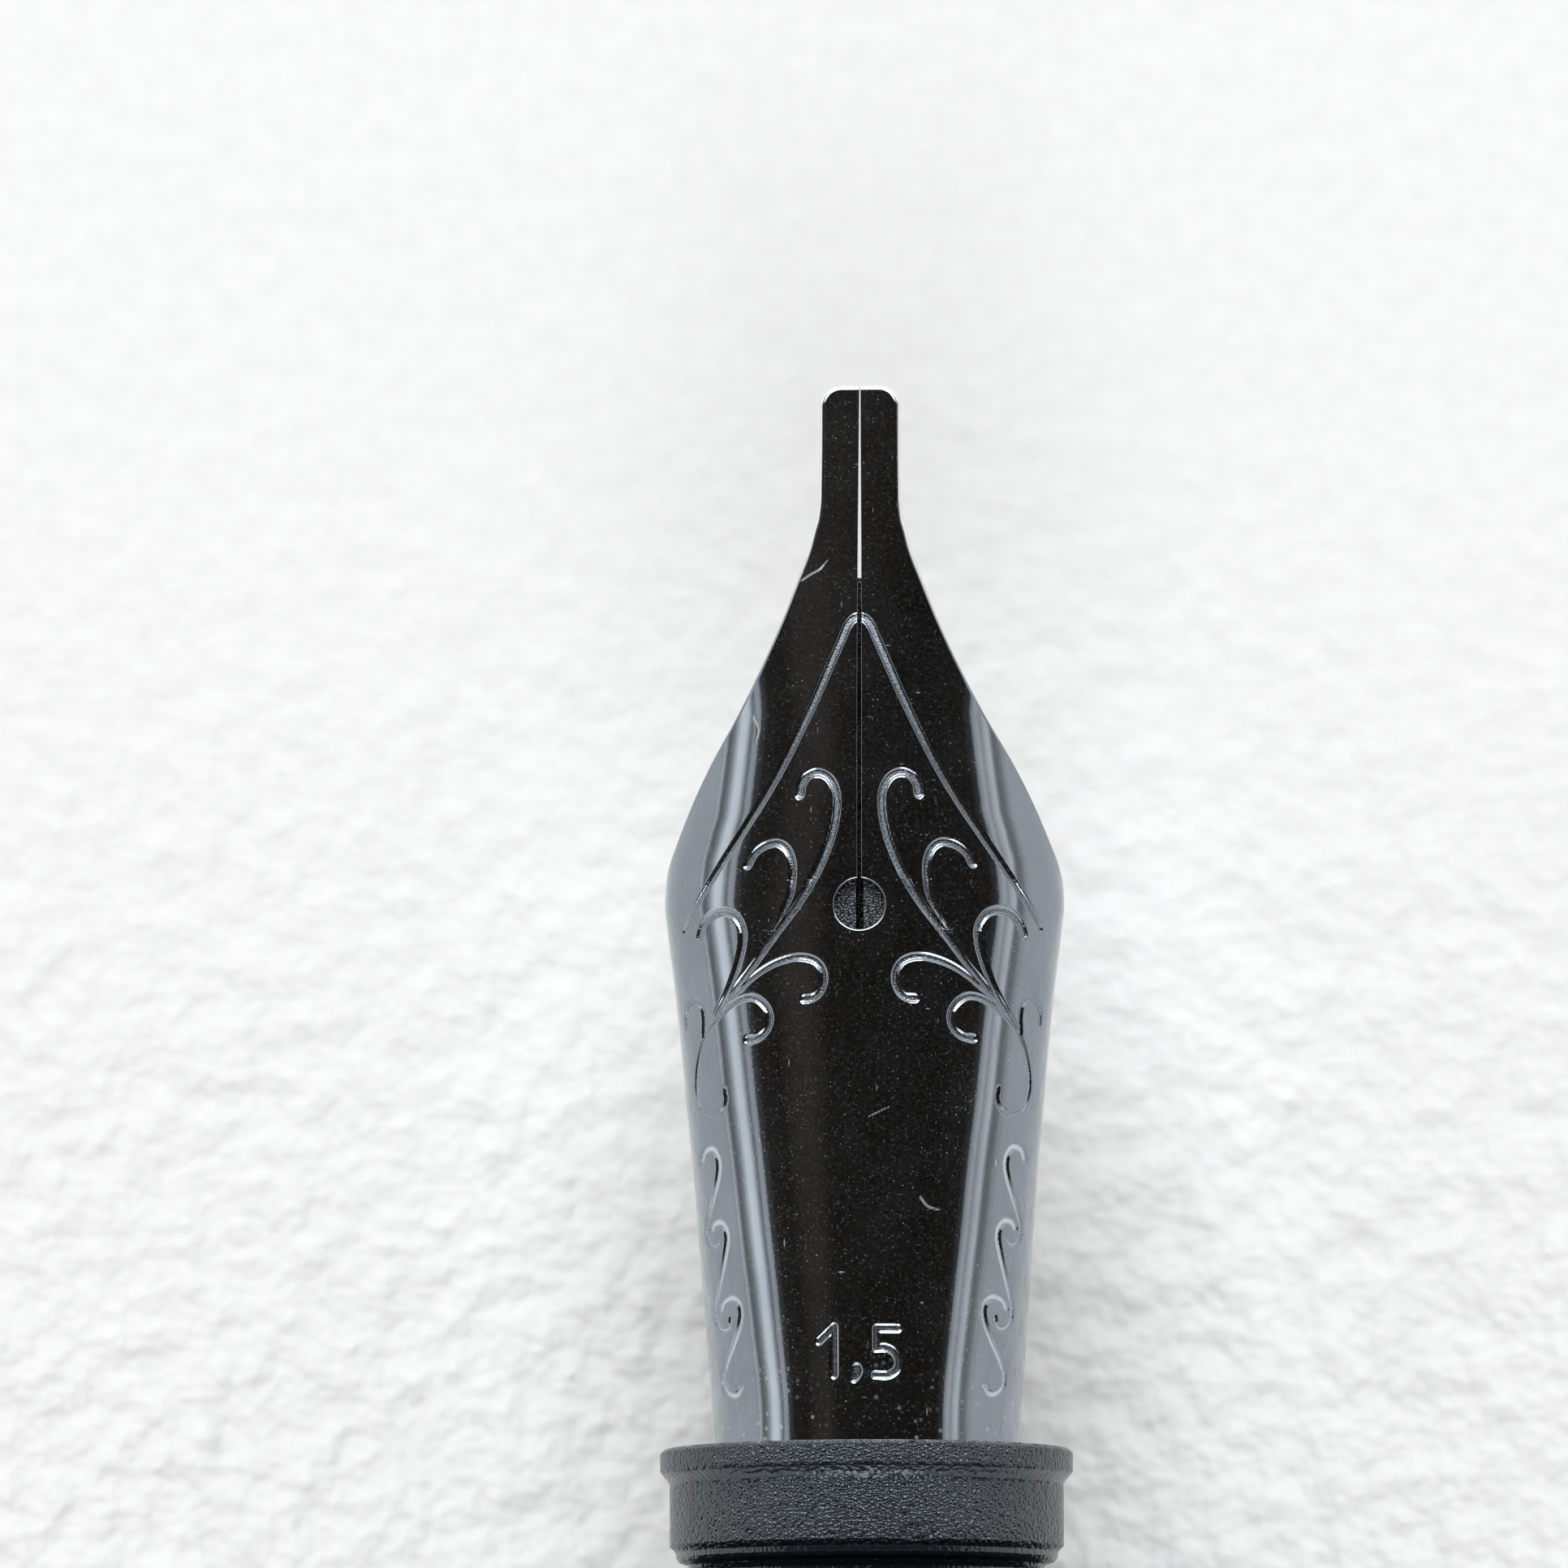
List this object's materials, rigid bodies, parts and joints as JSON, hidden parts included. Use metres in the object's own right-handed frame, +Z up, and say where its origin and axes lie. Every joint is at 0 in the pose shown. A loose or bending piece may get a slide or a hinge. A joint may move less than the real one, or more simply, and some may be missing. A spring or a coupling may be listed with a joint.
{
  "type": "dip pen",
  "caption": "Calligraphy pen with a broad engraved nib over a finned feed, a screw-in collar, a waisted grip and a six-sided barrel that hides a piston ink reservoir.",
  "frame": {"origin": "centre of the pen's footprint, on the surface its lower barrel flat rests on", "axes": "+Y along the pen towards the nib tip, +Z up out of the nib's engraved upper face, +X to the right seen from the tail"},
  "size_m": [0.0134, 0.1254, 0.0122],
  "materials": {
    "black_plated_steel": "black mirror-polished plating, engraved, bare bright metal at the writing edge and in the slit",
    "feed_black": "spark-eroded black plastic",
    "collar_black": "pebbled matte black moulding, front rim worn grey",
    "seal_rubber": "soft black rubber, slight sheen",
    "grip_black": "satin black with fine turning marks",
    "liner_grey": "moulded dark grey",
    "dark_chrome": "dark polished plating",
    "barrel_black": "satin black resin, softly rounded hexagon",
    "brass": "turned brass",
    "clear_tube": "clear moulded tube",
    "steel_sleeve": "polished steel, rolled lip",
    "converter_plastic": "moulded black",
    "piston_seal": "glossy black seal with two lips",
    "knob_black": "fluted glossy black",
    "spindle_brass": "turned, plain"
  },
  "bodies": {
    "section": {"grip_shell": "grip_black", "grip_liner": "liner_grey"},
    "neck_seal": {"neck_oring": "seal_rubber"},
    "nib_unit": {"nib_collar": "collar_black"},
    "nib_and_feed": {"nib": "black_plated_steel", "feed": "feed_black"},
    "band": {"trim_ring": "dark_chrome"},
    "barrel_seal": {"barrel_oring": "seal_rubber"},
    "barrel": {"barrel_shell": "barrel_black", "barrel_bush": "brass", "tail_ring": "dark_chrome", "tail_plug": "barrel_black"},
    "converter": {"converter_tube": "clear_tube", "converter_sleeve": "steel_sleeve", "rod_guide": "converter_plastic"},
    "knob": {"converter_knob": "knob_black", "knob_spindle": "spindle_brass", "knob_cap": "steel_sleeve"},
    "piston": {"piston_rod": "converter_plastic", "piston_seal": "piston_seal"}
  },
  "joints": [
    {"name": "nib_unit_advance", "type": "slide", "parent": "section", "child": "neck_seal", "axis": [0, 1, 0], "range_m": [0, 0.0055]},
    {"name": "nib_unit_turn", "type": "hinge", "parent": "neck_seal", "child": "nib_unit", "pos_m": [0, 0.03739, 0.0061], "axis": [0, 1, 0], "range_deg": [0, 3960]},
    {"name": "nib_feed_pull", "type": "slide", "parent": "nib_unit", "child": "nib_and_feed", "axis": [0, 1, 0], "range_m": [0, 0.014]},
    {"name": "barrel_advance", "type": "slide", "parent": "section", "child": "band", "axis": [0, -1, 0], "range_m": [0, 0.007]},
    {"name": "barrel_draw", "type": "slide", "parent": "band", "child": "barrel_seal", "axis": [0, -1, 0], "range_m": [0, 0.07]},
    {"name": "barrel_turn", "type": "hinge", "parent": "barrel_seal", "child": "barrel", "pos_m": [0, 0.0145, 0.0061], "axis": [0, -1, 0], "range_deg": [0, 2520]},
    {"name": "converter_pull", "type": "slide", "parent": "section", "child": "converter", "axis": [0, -1, 0], "range_m": [0, 0.0065]},
    {"name": "knob_turn", "type": "hinge", "parent": "converter", "child": "knob", "pos_m": [0, -0.02925, 0.0061], "axis": [0, -1, 0], "range_deg": [0, 2340]},
    {"name": "piston_slide", "type": "slide", "parent": "converter", "child": "piston", "axis": [0, 1, 0], "range_m": [0, 0.0195]}
  ],
  "couplings": [
    {"joint": "nib_unit_turn", "follows": "nib_unit_advance", "rad_per_m": 12566},
    {"joint": "barrel_turn", "follows": "barrel_advance", "rad_per_m": 6283.2},
    {"joint": "knob_turn", "follows": "piston_slide", "rad_per_m": 2094.4}
  ]
}
